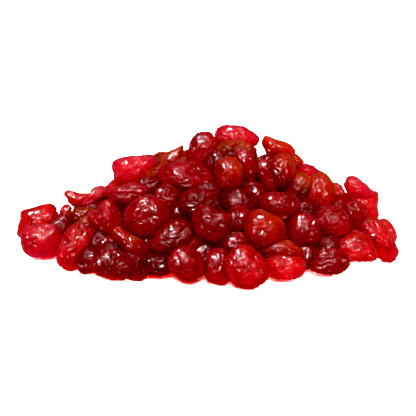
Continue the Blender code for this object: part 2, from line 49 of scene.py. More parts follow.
# The world's strength in front and behind, for matt surfaces and for what wet skins mirror, and where it
# starts to rise, from -1 in front to 1 behind.
WORLD_MATT = (0.3, 0.6)
WORLD_MIRRORED = (0.02, 0.12)
WORLD_RISES_FROM = -0.2

# The suns: the way to each, its width in degrees, its power and its colour. The key and the inside sun
# light only the flesh, the glints only the wet coat, and the last three only the table.
WHITE = (1.0, 1.0, 1.0)
KEY = ((-0.02, -0.55, 0.80), 9.0, 1.04, WHITE)
INSIDE = ((0.0, -0.65, 0.30), 40.0, 1.3, (1.0, 0.17, 0.19))
GLINTS = (
    ((-0.20, -0.35, 0.90), 9.0, 8.5, (1.0, 0.80, 0.81)),
    ((-0.45, -0.80, 0.50), 8.0, 1.8, (1.0, 0.55, 0.56)),
    ((-0.60, -0.75, 0.20), 7.0, 0.6, (1.0, 0.42, 0.43)),
    ((0.60, -0.80, 0.30), 7.0, 0.8, (1.0, 0.42, 0.43)),
    ((0.30, -0.60, 0.74), 6.0, 1.2, (1.0, 0.65, 0.66)),
    ((-0.05, -0.85, 0.52), 5.0, 0.7, (1.0, 0.55, 0.56)),
)
TABLE = ((0.0, 0.10, 1.0), 100.0, 36.0, WHITE)
TABLE_FRONT = ((0.0, -0.91, 0.41), 10.0, 14.0, WHITE)
THROUGH = ((0.0, 0.0, 1.0), 10.0, 2.8, (1.0, 0.02, 0.01))

# The floor: half its width in m, its look, and to the fruit its faint white and its plain glow. Then the
# level below which the picture is black.
FLOOR_REACH = 4.0
FLOOR_LOOK = {"Base Color": (0.93, 0.93, 0.93, 1.0), "Roughness": 0.6, "Specular IOR Level": 0.1}
FLOOR_BOUNCE = (0.01, 0.01, 0.01, 1.0)
FLOOR_GLOW = 0.9
BLACK_LEVEL = 0.0125

# The heap: half its width, half its depth, and the line of its top as seen from the front, in mm. Then how
# round and how steep its sides are.
HALF_WIDTH, HALF_DEPTH = 76.0, 58.0
CREST_ACROSS = (
    -76.0, -66.0, -57.0, -44.0, -36.0, -22.0, -10.0, 0.0, 9.0,
    16.0, 22.0, 31.0, 40.0, 50.0, 60.0, 68.0, 76.0,
)
CREST_HEIGHT = (
    6.0, 13.0, 17.5, 24.0, 32.0, 37.5, 42.0, 46.0, 48.0,
    45.0, 38.5, 41.0, 34.5, 28.0, 23.0, 17.0, 6.0,
)
SIDE_ROUNDNESS, SIDE_STEEPNESS = 1.8, 0.8

# The viewpoint that the front cherries' places are read from, a frame of 416 columns and rows: lengths in
# mm, the ways right, up and towards the eye, the place it looks at, and its own place.
EYE_DISTANCE = 600.0
ELEVATION = math.radians(12.0)
FRAME_MIDDLE = 208.0
MM_PER_STEP = 0.4
SENSOR_WIDTH = 36.0
RIGHT = np.array((1.0, 0.0, 0.0))
UP = np.array((0.0, math.sin(ELEVATION), math.cos(ELEVATION)))
TOWARDS = np.array((0.0, -math.cos(ELEVATION), math.sin(ELEVATION)))
AIM = np.array((0.0, 0.0, 18.8))
EYE = AIM + TOWARDS * EYE_DISTANCE

# Where on its sight line a front cherry is looked for, and how near its sight line and how far before it
# another one hides it, in mm.
SIGHT_FROM, SIGHT_TO, SIGHT_STEP = 490.0, 660.0, 0.25
FARTHEST = 8.0
HIDING_REACH, HIDING_GAP = 8.5, 1.0

# How the cherries pack, with lengths in mm: how deep their middles lie in the skin and at the foot, how
# clear they keep, where the row at the foot begins, how far out is still on it as a share of the heap's
# plan, and how deep they are sunk where they would hide one of the front.
SEED = 41
MEAN_LENGTH = 15.8
SKIN_DEPTH, SKIN_SPACING, SKIN_TRIES = 5.5, 10.4, 9000
FOOT_DEPTH, FOOT_SPACING, FOOT_JITTER, FOOT_FROM = 8.0, 12.4, 0.15, 8.0
ON_FOOT = 1.001
SUNK_BEFORE, SINKING, LOWEST = -12.0, (0.0, 4.5, 9.0), 8.0

# How they settle: the share of their reach at which two touch, the rounds, how far each is pushed, how far
# a front one goes sideways, how far each goes back home, and how deep it presses on the floor in mm.
CONTACT = 0.84
SETTLE_ROUNDS = 70
PUSH, SIDEWAYS, HOMING = 0.35, 0.2, 0.05
FLOOR_BITE = 0.5

# The core under them. Its plan across, behind and in front, its reach, height and foot are shares of the
# heap's. Its least height and its underside are in mm.
CORE_PLAN = (0.94, 0.90, 0.74)
CORE_FRONT_TAPER = 1.4
CORE_REACH, CORE_HEIGHT, CORE_FOOT = 0.80, 0.60, 0.72
CORE_LEAST_HEIGHT, CORE_UNDERSIDE = 4.0, 0.1
CORE_AROUND, CORE_LEVELS = 40, 10

# Each cherry of the front that shows well: columns and rows of points round its outline, its thickness
# in mm, how far forward of the heap's face it sits in mm, its tone, and from 0 to 1 how light it is and
# how wrinkled. How light it is is partly the cherry's own tone and partly painted light: those on the
# heap's outline are set lighter, standing in for light that shines through them from behind.
OUTLINED_CHERRIES = (
    (((22, 211), (32, 208), (43, 205), (50, 204), (56, 209), (60, 217), (60, 227), (52, 238), (36, 242),
     (22, 240), (18, 232), (21, 221)), 13.5, -3.0, "scarlet", 0.35, 0.6),
    (((22, 237), (27, 228), (36, 225), (46, 224), (56, 226), (61, 232), (62, 243), (58, 253), (48, 257),
     (36, 257), (26, 252), (22, 245)), 12.5, 3.0, "rose", 0.3, 0.8),
    (((65, 195), (67, 191), (71, 190), (80, 193), (88, 193), (96, 192), (95, 200), (88, 206), (78, 207),
     (70, 204), (68, 199)), 8.0, -2.0, "scarlet", 0.5, 0.3),
    (((59, 212), (62, 206), (68, 204), (72, 207), (70, 216), (68, 226), (63, 228), (59, 221)),
     8.0, -2.0, "scarlet", 0.45, 0.5),
    (((82, 203), (87, 196), (94, 191), (102, 188), (108, 189), (106, 195), (98, 199), (91, 204),
     (85, 207)), 8.0, 0.0, "rose", 0.85, 0.7),
    (((68, 216), (73, 210), (82, 208), (92, 209), (92, 215), (87, 221), (78, 223), (70, 221)),
     8.0, 0.0, "brown", 0.2, 0.7),
    (((75, 225), (84, 226), (91, 230), (94, 238), (92, 246), (85, 253), (81, 260), (77, 267), (70, 270),
     (61, 267), (57, 259), (60, 248), (64, 236), (69, 229)), 12.0, 2.0, "scarlet", 0.25, 0.9),
    (((98, 210), (101, 204), (107, 200), (113, 203), (117, 210), (122, 221), (121, 232), (115, 237),
     (105, 236), (96, 229), (89, 221), (89, 214), (93, 211)), 13.0, 1.0, "crimson", 0.95, 1.0),
    (((108, 196), (111, 190), (120, 187), (131, 185), (142, 186), (149, 190), (147, 196), (140, 202),
     (130, 205), (119, 205), (111, 202)), 9.5, 1.0, "crimson", 0.7, 0.7),
    (((125, 219), (127, 210), (134, 202), (145, 196), (156, 197), (165, 203), (169, 213), (168, 224),
     (162, 232), (151, 237), (139, 237), (130, 231)), 14.5, 3.0, "crimson", 0.55, 0.6),
    (((113, 230), (119, 226), (126, 231), (134, 236), (143, 241), (149, 248), (148, 255), (140, 258),
     (131, 256), (123, 249), (116, 239)), 10.0, 2.0, "ember", 0.25, 0.6),
    (((151, 244), (155, 235), (164, 226), (174, 221), (185, 222), (193, 227), (195, 235), (190, 243),
     (181, 250), (170, 254), (159, 254), (152, 250)), 12.5, 1.0, "crimson", 0.0, 0.8),
    (((90, 265), (93, 257), (103, 252), (115, 250), (126, 253), (135, 260), (138, 268), (134, 275),
     (121, 278), (107, 277), (95, 272)), 12.0, 1.0, "dusk", 0.5, 1.0),
    (((138, 266), (143, 258), (154, 254), (165, 255), (172, 262), (172, 271), (160, 275), (145, 274)),
     10.0, -1.0, "plum", 0.25, 0.8),
    (((170, 264), (172, 254), (180, 248), (190, 247), (199, 254), (204, 264), (203, 274), (195, 280),
     (183, 280), (174, 273)), 14.0, 2.0, "crimson", 0.4, 0.8),
    (((112, 169), (115, 161), (125, 157), (138, 156), (150, 155), (155, 160), (155, 169), (151, 178),
     (141, 182), (128, 184), (117, 181), (113, 175)), 11.5, 2.0, "rose", 0.8, 0.7),
    (((156, 164), (160, 158), (168, 153), (177, 148), (182, 146), (184, 153), (188, 160), (183, 166),
     (170, 170), (159, 170)), 10.0, -2.0, "brown", 0.85, 0.8),
    (((159, 174), (163, 167), (174, 163), (186, 162), (198, 165), (208, 170), (214, 179), (212, 188),
     (203, 195), (190, 195), (176, 190), (164, 184)), 14.0, 2.0, "crimson", 0.6, 0.8),
    (((188, 156), (189, 145), (193, 138), (203, 132), (211, 133), (216, 142), (217, 154), (212, 164),
     (202, 168), (192, 166)), 12.6, 0.0, "crimson", 0.7, 0.9),
    (((193, 221), (195, 212), (201, 206), (209, 206), (217, 212), (224, 212), (231, 218), (232, 228),
     (228, 237), (218, 242), (206, 241), (197, 234)), 14.5, 2.0, "crimson", 0.2, 0.8),
    (((227, 217), (231, 210), (239, 206), (247, 209), (252, 216), (250, 225), (243, 232), (234, 232),
     (228, 225)), 11.0, 0.0, "crimson", 0.15, 0.9),
    (((245, 230), (247, 220), (254, 213), (264, 211), (273, 216), (282, 221), (285, 230), (281, 240),
     (272, 247), (260, 249), (250, 243)), 14.0, 3.0, "ember", 0.5, 0.6),
    (((258, 204), (262, 196), (271, 193), (283, 193), (293, 197), (298, 206), (295, 215), (284, 221),
     (271, 219), (262, 213)), 12.5, 1.0, "crimson", 0.4, 1.0),
    (((215, 173), (218, 163), (225, 158), (233, 158), (240, 164), (243, 174), (241, 184), (235, 191),
     (227, 193), (219, 188), (216, 181)), 11.5, 2.0, "ember", 0.35, 0.5),
    (((236, 155), (243, 149), (251, 152), (255, 160), (256, 171), (253, 182), (248, 185), (243, 179),
     (240, 167)), 10.0, 0.0, "crimson", 0.5, 0.7),
    (((217, 151), (221, 143), (230, 139), (241, 138), (250, 142), (256, 150), (254, 158), (245, 163),
     (232, 164), (221, 160)), 11.0, 1.0, "brown", 0.4, 0.9),
    (((215, 138), (218, 130), (226, 127), (237, 127), (247, 130), (256, 136), (260, 142), (256, 147),
     (242, 148), (228, 148), (218, 145)), 9.5, -1.0, "rose", 0.75, 0.9),
    (((255, 167), (258, 160), (264, 159), (269, 164), (274, 174), (277, 184), (275, 192), (269, 193),
     (263, 186), (258, 177)), 9.0, 1.0, "crimson", 0.65, 0.7),
    (((270, 170), (273, 160), (280, 155), (288, 156), (294, 163), (296, 173), (294, 183), (286, 189),
     (277, 187), (272, 180)), 11.5, 1.0, "ember", 0.35, 0.6),
    (((262, 144), (264, 138), (268, 136), (277, 140), (288, 143), (295, 150), (294, 156), (286, 157),
     (275, 155), (267, 154), (265, 149)), 9.0, -2.0, "amber", 0.55, 0.4),
    (((291, 155), (296, 154), (302, 159), (305, 164), (302, 169), (295, 168), (290, 162)),
     8.0, -3.0, "amber", 0.75, 0.4),
    (((296, 171), (299, 165), (306, 163), (313, 166), (319, 172), (318, 179), (308, 182), (299, 178)),
     9.5, -2.0, "rose", 0.75, 0.6),
    (((313, 173), (318, 170), (325, 174), (331, 181), (330, 187), (322, 188), (315, 182)),
     9.5, -3.0, "rose", 0.9, 0.5),
    (((299, 194), (301, 184), (307, 177), (315, 172), (323, 174), (330, 184), (332, 196), (328, 206),
     (319, 213), (308, 211), (301, 203)), 13.0, 2.0, "ember", 0.9, 0.9),
    (((330, 189), (334, 183), (341, 186), (346, 195), (349, 203), (345, 208), (338, 206), (332, 198)),
     9.0, -1.0, "rose", 1.0, 0.6),
    (((345, 186), (348, 179), (354, 177), (361, 181), (368, 187), (373, 193), (366, 198), (355, 197),
     (348, 193)), 8.0, -1.0, "rose", 1.0, 0.5),
    (((342, 195), (348, 190), (359, 191), (369, 191), (376, 190), (378, 197), (377, 206), (379, 215),
     (372, 220), (361, 217), (351, 208), (344, 201)), 11.0, -2.0, "scarlet", 1.0, 0.4),
    (((312, 227), (315, 216), (322, 208), (332, 207), (342, 210), (349, 219), (349, 230), (341, 237),
     (330, 240), (319, 236)), 14.0, 2.0, "crimson", 0.5, 0.7),
    (((360, 230), (363, 221), (371, 218), (380, 221), (387, 229), (393, 241), (398, 253), (394, 260),
     (385, 260), (376, 255), (368, 246), (362, 237)), 12.0, 2.0, "scarlet", 0.4, 0.8),
    (((376, 222), (384, 219), (392, 225), (396, 233), (395, 241), (389, 245), (380, 240), (376, 231)),
     10.0, 5.0, "scarlet", 1.0, 0.4),
    (((325, 246), (335, 241), (345, 235), (355, 231), (364, 234), (371, 243), (376, 254), (373, 260),
     (361, 261), (348, 261), (336, 254)), 12.5, 0.0, "scarlet", 0.3, 0.8),
    (((308, 262), (310, 253), (319, 249), (331, 249), (342, 251), (347, 258), (347, 267), (340, 272),
     (328, 274), (316, 272), (310, 268)), 10.5, 2.0, "crimson", 0.25, 0.9),
    (((286, 232), (288, 221), (295, 214), (304, 212), (313, 216), (320, 227), (319, 237), (311, 245),
     (300, 248), (291, 243)), 13.5, 1.0, "crimson", 0.4, 0.7),
    (((265, 266), (267, 259), (275, 256), (286, 255), (297, 257), (304, 263), (302, 272), (293, 278),
     (281, 279), (270, 276)), 11.0, 1.0, "scarlet", 0.55, 0.6),
    (((256, 249), (262, 240), (275, 237), (289, 240), (299, 248), (303, 258), (297, 264), (284, 263),
     (268, 261)), 11.5, 0.0, "ember", 0.25, 0.5),
    (((226, 266), (228, 254), (236, 247), (245, 245), (254, 249), (261, 257), (268, 267), (268, 277),
     (260, 284), (249, 287), (237, 286), (229, 278)), 15.5, 0.0, "scarlet", 0.1, 0.7),
    (((205, 268), (207, 257), (213, 250), (221, 250), (227, 256), (230, 267), (228, 279), (221, 284),
     (212, 281), (206, 275)), 11.5, 1.0, "crimson", 0.65, 1.0),
    (((91, 191), (96, 187), (102, 185), (108, 188), (108, 194), (100, 198), (93, 196)),
     8.0, -5.0, "rose", 0.95, 0.5),
    (((104, 189), (109, 183), (115, 179), (121, 181), (122, 188), (115, 193), (107, 193)),
     8.0, -5.0, "scarlet", 0.75, 0.5),
)

# The others of the front, partly hidden and all plump: column and row of the middle, length and width in
# mm, the turn of the length in degrees, how far forward it sits, its tone, how light and how wrinkled.
# Most of those sunk in the gaps take a dark tone with a duller coat, as painted shade.
PLAIN_CHERRIES = (
    (89, 227, 10.0, 8.5, 20, -2.0, "brown", 0.4, 0.6),
    (90, 260, 12.0, 9.0, 20, -3.0, "dusk", 0.4, 0.8),
    (208, 194, 12.0, 10.0, 20, -3.5, "dusk", 0.4, 0.6),
    (160, 176, 11.0, 8.5, 25, -3.0, "brown", 0.3, 0.6),
    (152, 188, 12.5, 9.5, 0, -4.0, "dusk", 0.4, 0.6),
    (170, 199, 11.5, 9.0, -35, 0.0, "crimson", 0.2, 1.0),
    (199, 205, 17.6, 11.4, -5, -2.0, "dusk", 0.3, 0.9),
    (182, 214, 13.5, 11.0, 0, -6.0, "dusk", 0.4, 0.7),
    (234, 244, 11.5, 10.0, 0, -2.0, "crimson", 0.4, 0.8),
    (238, 203, 16.0, 11.0, -8, -5.5, "dusk", 0.3, 0.6),
    (365, 228, 13.0, 9.5, 0, -2.0, "rose", 0.4, 0.7),
    (306, 257, 10.5, 9.0, 80, -3.0, "crimson", 0.3, 0.6),
    (203, 259, 14.0, 10.0, 80, -3.0, "dusk", 0.6, 1.0),
    (98, 247, 11.5, 10.0, 70, -3.0, "dusk", 0.5, 0.6),
    (112, 249, 11.5, 9.5, 0, -3.0, "dusk", 0.4, 1.0),
    (300, 188, 12.0, 10.0, 60, -3.0, "brown", 0.2, 0.7),
    (253, 199, 12.5, 10.5, 80, -5.5, "dusk", 0.4, 0.6),
    (324, 246, 13.0, 10.0, 10, -6.0, "dusk", 0.4, 0.6),
    (121, 209, 12.0, 10.0, 0, -6.0, "dusk", 0.4, 0.6),
    (215, 166, 14.0, 10.0, 80, -6.0, "dusk", 0.4, 0.7),
    (353, 218, 13.0, 10.0, 70, -3.0, "crimson", 0.5, 0.7),
    (218, 245, 11.5, 9.5, 30, -6.0, "dusk", 0.4, 0.7),
    (152, 247, 12.5, 10.0, 10, -6.0, "dusk", 0.4, 0.7),
    (226, 197, 12.0, 10.0, 60, -7.0, "dusk", 0.3, 0.7),
    (170, 258, 11.0, 9.5, 0, -6.0, "dusk", 0.4, 0.7),
    (258, 214, 12.0, 10.0, 0, -6.5, "dusk", 0.3, 0.7),
    (307, 213, 12.5, 10.5, 30, -6.0, "dusk", 0.3, 0.7),
    (59, 231, 12.5, 10.5, 60, -6.0, "dusk", 0.6, 0.7),
    (338, 208, 12.5, 10.0, 30, -4.0, "crimson", 0.4, 0.7),
)

# Their thickness as a share of their width, and how far they may lean and swing, in radians.
PLAIN_THICKNESS = (0.85, 1.15)
PLAIN_LEAN, PLAIN_SWING = 0.35, 0.25

# The cherries placed by rule: their length as a share of the mean, their width as a share of that, and
# their thickness as a share of their width; how far they may lean and swing, in radians; how wrinkled and
# how light they are, their forms and their tones.
RULED_LENGTH, RULED_WIDTH, RULED_THICKNESS = (0.78, 1.16), (0.62, 0.92), (0.74, 0.92)
RULED_LEAN, RULED_SWING = 0.9, 0.6
RULED_WRINKLED, RULED_TINT = (0.45, 1.0), (0.05, 0.75)
RULED_FORMS = ("plump", "egg", "bean", "long", "ring", "block", "plump", "knob")
RULED_TONES = ("crimson", "scarlet", "crimson", "ember", "dusk", "crimson", "rose", "brown")

# Girth from one end of a cherry's length to the other, as places along it and shares of its width.
GIRTHS = {
    "egg": ((-1.0, 1.0), (1.20, 0.70)),
    "knob": ((-1.0, 0.1, 0.5, 1.0), (1.04, 1.06, 0.64, 0.80)),
}
EVEN_GIRTH = ((-1.0, 1.0), (1.0, 1.0))

# The folds of the forms, as shares of the cherry's half sizes: depth and breadth of a bean's cleft and of
# a ring's hollow, the way the hollow faces, height, place and breadth of the ring's lip, and depth, place
# and breadth of the groove along a long one. Then how square the forms are, and how uneven.
CLEFT = (0.26, 0.26)
HOLLOW = (0.30, 0.42)
HOLLOW_WAY = (0.0, 0.42, 0.91)
LIP = (0.05, 0.8, 0.25)
GROOVE = (0.13, 0.25, 0.2)
ROUND_POWER, BLOCK_POWER = 2.2, 3.0
UNEVEN, OUTLINED_UNEVEN = 0.06, 0.02

# Count of the waves, and their pitch in radians, in uneven forms, round puckers and along folds, and how
# much a wave's pitch differs from it.
FORM_WAVES, PUCKER_WAVES, FOLD_WAVES = (5, 2.6), (3, 1.2), (4, 1.1)
WAVE_SPREAD = (0.7, 1.3)

# Seeds of their own for the grain, tones, inner cherries, forms and skins.
GRAIN_SEED, TONE_SEED, INNER_SEED = SEED + 3, SEED + 7, SEED + 11
FORM_SEED, SKIN_SEED = SEED + 1000, SEED + 5000

# How many steps a ball's arc has, the most cherries in a piece, and each one's margin on the map.
FRONT_STEPS, BACK_STEPS, INNER_STEPS = 30, 24, 12
MOST_IN_A_PIECE = 26
MAP_MARGIN = 0.02

# Where skins meet: the gap and its softness as shares of a cherry, and how near another counts, as a share
# of their half lengths. Then the floor's softness and clearance in mm.
CONTACT_GAP, CONTACT_SOFTNESS = 0.02, 0.07
NEAR = 1.15
FLOOR_SOFTNESS, FLOOR_CLEARANCE = 0.5, 0.05

# The hollows of the flesh: counts, depths in mm, and spreads and pitches in radians.
LEAST_HOLLOW = 0.3
DENTS, DENT_DEPTHS, DENT_SPREADS = (3, 6), (0.4, 1.4), (0.28, 0.60)
PUCKER_DEPTH, PUCKER_SPREAD, PUCKER_UNEVEN = 1.3, 0.17, 0.25
RIPPLE_DEPTH, RIPPLE_PITCH, RIPPLE_SPREAD = 0.22, 0.27, 0.6
FOLDS, FOLD_DEPTHS = (1, 4), (0.35, 0.8)
FOLD_OFF_MIDDLE, FOLD_BEND, FOLD_BREADTH = 0.6, 0.22, 0.05
FOLD_START, FOLD_RISE = 0.2, 2.4
FOLD_LIP = (0.5, 0.14, 0.08)

# The crinkles of the skin, in mm: the drift that bends them, ridges and finer cuts stretched along the
# cherry, and patches where they are strong.
WRINKLE_PITCH, WRINKLE_HEIGHT, DRIFT_PITCH = 2.2, 0.85, 4.0
RIDGE_DRIFT, RIDGE_STRETCH, RIDGE_SHARPNESS = 1.9, 0.38, 3.2
CUT_DRIFT, CUT_STRETCH, CUT_SHARPNESS, CUT_PITCH, CUT_SHARE = 1.4, 0.6, 3.0, 1.5, 0.4
PATCH_PITCH, PATCH_MIDDLE, PATCH_SWING, PATCH_LEAST = 6.0, 0.62, 1.2, 0.45

# The cherries under the skin: for each layer how far in it is, and how clear it keeps of the skin's
# cherries and of its own, in mm. Then their lowest middle, their size against the others, how wrinkled and
# how light they are, and the number of the first.
INNER_LAYERS = ((9.0, 7.4, 8.6), (14.0, 8.0, 10.5))
INNER_TRIES = 4000
INNER_LOWEST = 5.5
INNER_SHARE, INNER_WRINKLED, INNER_TINT = 0.86, 0.8, 0.3
INNER_FIRST = 500

# The painted rim light: a warm colour painted on the side of each cherry that faces this way, up and to
# the right, standing in for light there; how far round it reaches, and its colour.
PAINTED_RIM_LIGHT_WAY = (0.47, -0.10, 0.87)
PAINTED_RIM_LIGHT_FROM, PAINTED_RIM_LIGHT_TO = 0.25, 0.90
PAINTED_RIM_LIGHT_COLOUR = (0.72, 0.050, 0.006)

# Each tone: deep colour, bright colour, how far light goes on through the flesh in m, how wet the skin is,
# and how strong its warm painted rim light is.
TONES = {
    "scarlet": ((0.40, 0.0035, 0.0065), (1.00, 0.0220, 0.0300), 0.0100, 1.0, 0.10),
    "crimson": ((0.18, 0.0015, 0.0045), (0.48, 0.0060, 0.0165), 0.0090, 1.0, 0.08),
    "ember": ((0.22, 0.0015, 0.0020), (0.58, 0.0150, 0.0070), 0.0100, 1.0, 0.45),
    "amber": ((0.42, 0.0060, 0.0020), (0.85, 0.0600, 0.0080), 0.0100, 1.0, 0.85),
    "rose": ((0.42, 0.0040, 0.0150), (0.98, 0.0250, 0.0560), 0.0100, 1.0, 0.0),
    "brown": ((0.20, 0.0080, 0.0030), (0.50, 0.0600, 0.0160), 0.0080, 0.7, 0.40),
    # The next tone is partly the own colour of dark cherries and partly painted shade: most of its
    # cherries sit sunk in the gaps between the front ones, where its darker flesh and duller coat stand in
    # for shade.
    "dusk": ((0.13, 0.0014, 0.0032), (0.30, 0.0060, 0.0090), 0.0070, 0.55, 0.0),
    "plum": ((0.08, 0.0010, 0.0022), (0.24, 0.0035, 0.0065), 0.0060, 0.55, 0.0),
}

# The mottle of the flesh: its grain, and the range of grain that darkens and lightens it.
MOTTLE_GRAIN = {"Scale": 190.0, "Detail": 3.0, "Roughness": 0.55}
MOTTLE = {"From Min": 0.30, "From Max": 0.72, "To Min": -0.35, "To Max": 0.55}

# The flesh and its wet coat.
FLESH = {
    "Roughness": 0.32,
    "Metallic": 0.0,
    "IOR": 1.40,
    "Transmission Weight": 0.2,
    "Specular IOR Level": 0.0,
    "Subsurface Weight": 0.9,
    "Subsurface Radius": (1.0, 0.12, 0.08),
    "Coat Roughness": 0.03,
    "Coat IOR": 1.45,
}

# The fine creases drawn on the skin: their grain, and their strength and height in m.
CREASE_GRAIN = {"Scale": 1 / 1.15, "Detail": 0.6, "Distortion": 0.5}
CREASES = {"Strength": 0.15, "Distance": 0.30 * MM * 2}


def unit(vector):
    """The vector at a length of 1."""
    return vector / np.linalg.norm(vector)


def skin_height(across, depth, inset):
    """Height of the heap's skin in mm, taken in by inset all round. It is 0 outside the footprint."""
    x = np.asarray(across) * HALF_WIDTH / (HALF_WIDTH - inset)
    y = np.asarray(depth) * HALF_DEPTH / (HALF_DEPTH - inset)
    crest = np.interp(x, CREST_ACROSS, CREST_HEIGHT)
    reach = HALF_DEPTH * np.sqrt(np.clip(1.0 - (x / HALF_WIDTH) ** 2, 1e-4, 1.0))
    share = np.clip(1.0 - np.abs(y / reach) ** SIDE_ROUNDNESS, 0.0, 1.0) ** SIDE_STEEPNESS
    top = max(CREST_HEIGHT)
    return crest * share * (top - inset) / top * (np.abs(x) < HALF_WIDTH)


def sight_line(column, row):
    """The unit direction from the eye through one column and row of the frame."""
    across, high = (column - FRAME_MIDDLE) * MM_PER_STEP, (FRAME_MIDDLE - row) * MM_PER_STEP
    return unit(AIM + RIGHT * across + UP * high - EYE)


def turned(axes, about, angle):
    """The rows of axes, turned about one of them by the angle in radians."""
    k = axes[about]
    cosine, sine = math.cos(angle), math.sin(angle)
    return axes * cosine + np.cross(k, axes) * sine + np.outer(axes @ k, k) * (1 - cosine)


def half_height(axes, half):
    """How far an ellipsoid with these axes (rows) and half sizes reaches above its middle."""
    return float(np.linalg.norm(axes[:, 2] * half))


def outline_measures(outline):
    """Middle, length, width and turn of the oval most like an outline, and the outline's reach against it.

    The outline is a smooth closed line through the points, in columns and rows.
    """
    ring = (np.array(outline, float) * (1, -1))[:, None]
    before, after, later = (np.roll(ring, shift, axis=0) for shift in (1, -1, -2))
    t = np.arange(0, 1, 0.125)[:, None]
    line = 2 * ring + (after - before) * t + (2 * before - 5 * ring + 4 * after - later) * t**2
    line = (line + (3 * ring - before - 3 * after + later) * t**3).reshape(-1, 2) / 2

    def slices(arms):
        following = np.roll(arms, -1, axis=0)
        areas = (arms[:, 0] * following[:, 1] - following[:, 0] * arms[:, 1]) / 2
        return areas, arms, following

    areas, arms, following = slices(line)
    middle = ((arms + following) * areas[:, None]).sum(axis=0) / (3 * areas.sum())
    areas, arms, following = slices(line - middle)
    spread = sum(np.einsum("i,ia,ib->ab", areas, v, v) for v in (arms, following, arms + following))
    values, ways = np.linalg.eigh(spread / (12 * areas.sum()))
    width, length = 4 * np.sqrt(values)
    turn = math.atan2(ways[1, 1], ways[0, 1])
    angles = (np.arctan2(arms[:, 1], arms[:, 0]) - turn) % (2 * math.pi)
    oval = 0.5 / np.hypot(np.cos(angles) / length, np.sin(angles) / width)
    order = np.argsort(angles)
    reach = np.linalg.norm(arms, axis=1) / oval
    return middle * (1, -1), length, width, turn, (angles[order], reach[order])


def in_outline(local, cherry):
    """Draws points in the cherry's own frame in or out across the view, so that they fill its outline."""
    if cherry["outline"]:
        angles = np.arctan2(local[:, 1], local[:, 0])
        local[:, :2] *= np.interp(angles, *cherry["outline"], period=2 * math.pi)[:, None]
    return local


def front_cherry(entry, rng):
    """One listed front cherry, at the place on its sight line where the heap or the floor carries it."""
    if isinstance(entry[0], tuple):
        points, thickness, forward, tone, tint, wrinkled = entry
        (column, row), length, width, turn, outline = outline_measures(points)
        sizes = np.array((length * MM_PER_STEP, width * MM_PER_STEP, thickness))
        form, lean, swing = "outlined", 0.0, 0.0
    else:
        column, row, length, width, turn, forward, tone, tint, wrinkled = entry
        form, turn, outline = "plump", math.radians(turn), None
        sizes = np.array((length, width, min(width * rng.uniform(*PLAIN_THICKNESS), length)))
        lean, swing = (rng.uniform(-most, most) for most in (PLAIN_LEAN, PLAIN_SWING))
    along = RIGHT * math.cos(turn) + UP * math.sin(turn)
    axes = turned(np.array((along, np.cross(TOWARDS, along), TOWARDS)), 0, lean)
    axes = turned(axes, 1, swing)
    half = sizes / 2
    line = sight_line(column, row)
    steps = np.arange(SIGHT_FROM, SIGHT_TO, SIGHT_STEP)
    places = EYE + steps[:, None] * line
    steps, places = steps[places[:, 1] < FARTHEST], places[places[:, 1] < FARTHEST]
    above = places[:, 2] - skin_height(places[:, 0], places[:, 1], SKIN_DEPTH)
    inside = np.flatnonzero((above < 0) | (places[:, 2] < half_height(axes, half)))
    found = inside[0] if len(inside) else int(np.argmin(above))
    place = places[found] - line * forward
    half = half * steps[found] / EYE_DISTANCE
    return {"place": place, "axes": axes, "half": half, "form": form, "outline": outline, "line": line,
            "tone": tone, "tint": tint, "wrinkled": wrinkled}


def back_cherry(place, rng):
    """One cherry placed by rule, lying roughly flat on the heap's slope."""
    out = unit(place / np.array((HALF_WIDTH, HALF_DEPTH, max(CREST_HEIGHT))) ** 2)
    along = unit(np.cross(out, rng.normal(size=3)))
    axes = np.array((along, np.cross(out, along), out))
    axes = turned(axes, 0, rng.uniform(-RULED_LEAN, RULED_LEAN))
    axes = turned(axes, 1, rng.uniform(-RULED_SWING, RULED_SWING))
    length = MEAN_LENGTH * rng.uniform(*RULED_LENGTH)
    width = length * rng.uniform(*RULED_WIDTH)
    half = np.array((length, width, width * rng.uniform(*RULED_THICKNESS))) / 2
    form = RULED_FORMS[rng.integers(len(RULED_FORMS))]
    return {"place": place, "axes": axes, "half": half, "form": form, "outline": None, "line": None}


def in_the_way(place, taken):
    """Whether a cherry here would hide a listed one from the viewpoint of the front."""
    gaps = (np.array(taken) - place) @ np.array((RIGHT, UP, TOWARDS)).T
    return bool(((np.hypot(gaps[:, 0], gaps[:, 1]) < HIDING_REACH) & (gaps[:, 2] < -HIDING_GAP)).any())


def scattered(taken, rng):
    """Seeded places round the foot, then over the skin, that keep clear of those taken.

    In front, and where they would hide a listed cherry, they are sunk.
    """
    reach_x, reach_y = HALF_WIDTH - FOOT_DEPTH, HALF_DEPTH - FOOT_DEPTH
    count = int(math.pi * (reach_x + reach_y) / FOOT_SPACING)
    angles = (np.arange(count) + rng.uniform(-FOOT_JITTER, FOOT_JITTER, count)) * 2 * math.pi / count
    foot = np.column_stack((reach_x * np.cos(angles), reach_y * np.sin(angles)))
    over = rng.uniform((-reach_x, -reach_y), (reach_x, reach_y), (SKIN_TRIES, 2))
    kept = np.array(taken)
    for across, depth in np.vstack((foot[foot[:, 1] > FOOT_FROM], over)):
        if (across / reach_x) ** 2 + (depth / reach_y) ** 2 > ON_FOOT:
            continue
        for sunk in SINKING[int(depth < SUNK_BEFORE):]:
            high = max(float(skin_height(across, depth, SKIN_DEPTH + sunk)), SKIN_DEPTH)
            place = np.array((across, depth, high))
            if not in_the_way(place, taken):
                break
        clear = np.linalg.norm(kept - place, axis=1).min() > SKIN_SPACING
        low = high < LOWEST and depth < FOOT_FROM
        if clear and not low and not in_the_way(place, taken):
            kept = np.vstack((kept, place))
    return kept[len(taken):]


